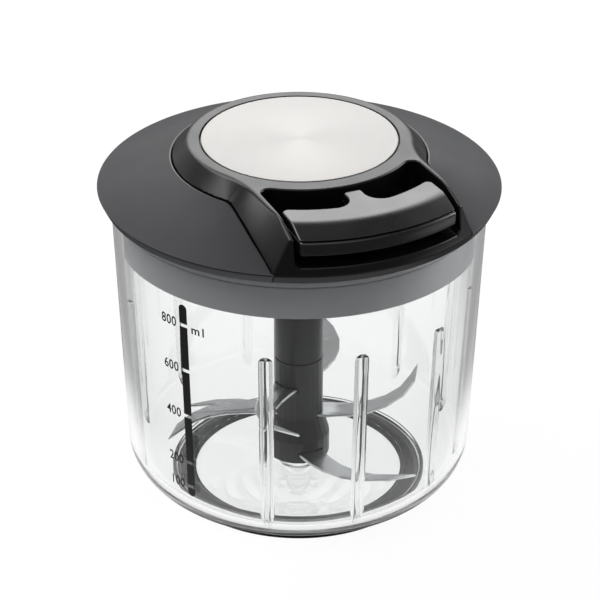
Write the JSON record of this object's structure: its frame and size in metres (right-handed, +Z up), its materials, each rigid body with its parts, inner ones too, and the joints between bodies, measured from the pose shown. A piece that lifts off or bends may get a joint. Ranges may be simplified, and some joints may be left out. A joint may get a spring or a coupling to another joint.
{
  "type": "pull-cord food chopper",
  "caption": "Clear round bowl with a blade unit on a pin, and a dark lid whose curved pull handle winds a cord off a sprung drum to spin the blades.",
  "frame": {"origin": "middle of the face the bowl stands on", "axes": "+Z up through the bowl, shaft and drum; the handle pulls toward -Y; +X to the right of the handle"},
  "size_m": [0.1382, 0.1382, 0.1325],
  "materials": {
    "clear_plastic": "clear, polished",
    "soft_black": "matt soft",
    "dark_satin": "fine satin",
    "grey_plastic": "fine satin",
    "black_gloss": "polished",
    "shaft_plastic": "satin",
    "brushed_steel": "brushed in a circle",
    "blade_steel": "ground",
    "spring_steel": "bright",
    "bearing": "plain",
    "inner_plastic": "plain",
    "silicone": "soft",
    "cord": "braided"
  },
  "bodies": {
    "bowl_unit": {"bowl": "clear_plastic", "base_ring": "soft_black", "centre_pin": "blade_steel"},
    "blade_unit": {"blade_hub": "shaft_plastic", "blade_shaft": "shaft_plastic", "pin_bush": "bearing", "blade_lower": "blade_steel", "blade_middle": "blade_steel", "blade_upper": "blade_steel"},
    "lid": {"lid_plug": "grey_plastic", "lid_seal": "silicone", "lid_brim": "dark_satin", "neck_housing": "black_gloss", "steel_disc": "brushed_steel", "cord_eyelet": "black_gloss", "spring_cup": "inner_plastic", "spring_cover": "inner_plastic", "return_spring": "spring_steel", "upper_bush": "bearing", "lower_bush": "bearing", "shaft_seal": "silicone", "pull_cord": "cord", "cup_screw_1": "spring_steel", "cup_screw_2": "spring_steel", "cup_screw_3": "spring_steel"},
    "drive_unit": {"cord_drum": "inner_plastic", "cord_winding": "cord", "drive_spigot": "shaft_plastic", "drive_pin": "spring_steel"},
    "pull_handle": {"handle_top": "black_gloss", "handle_base": "black_gloss", "cord_knot": "cord", "handle_screw_1": "spring_steel", "handle_screw_2": "spring_steel"}
  },
  "joints": [
    {"name": "lid_lift", "type": "slide", "parent": "bowl_unit", "child": "lid", "axis": [0, 0, 1], "range_m": [0, 0.15]},
    {"name": "handle_pull", "type": "slide", "parent": "lid", "child": "pull_handle", "axis": [0, -1, 0], "range_m": [0, 0.4], "stiffness_N_per_m": 12, "springref_m": -0.25, "deforming": ["pull_cord"]},
    {"name": "drum_spin", "type": "hinge", "parent": "lid", "child": "drive_unit", "pos_m": [0, 0, 0.12], "axis": [0, 0, -1], "range_deg": [0, 1282]},
    {"name": "blade_spin", "type": "hinge", "parent": "bowl_unit", "child": "blade_unit", "pos_m": [0, 0, 0.03], "axis": [0, 0, -1], "range_deg": [0, 1282]}
  ],
  "couplings": [
    {"joint": "drum_spin", "follows": "handle_pull", "rad_per_m": 55.87},
    {"joint": "blade_spin", "follows": "handle_pull", "rad_per_m": 55.87}
  ]
}
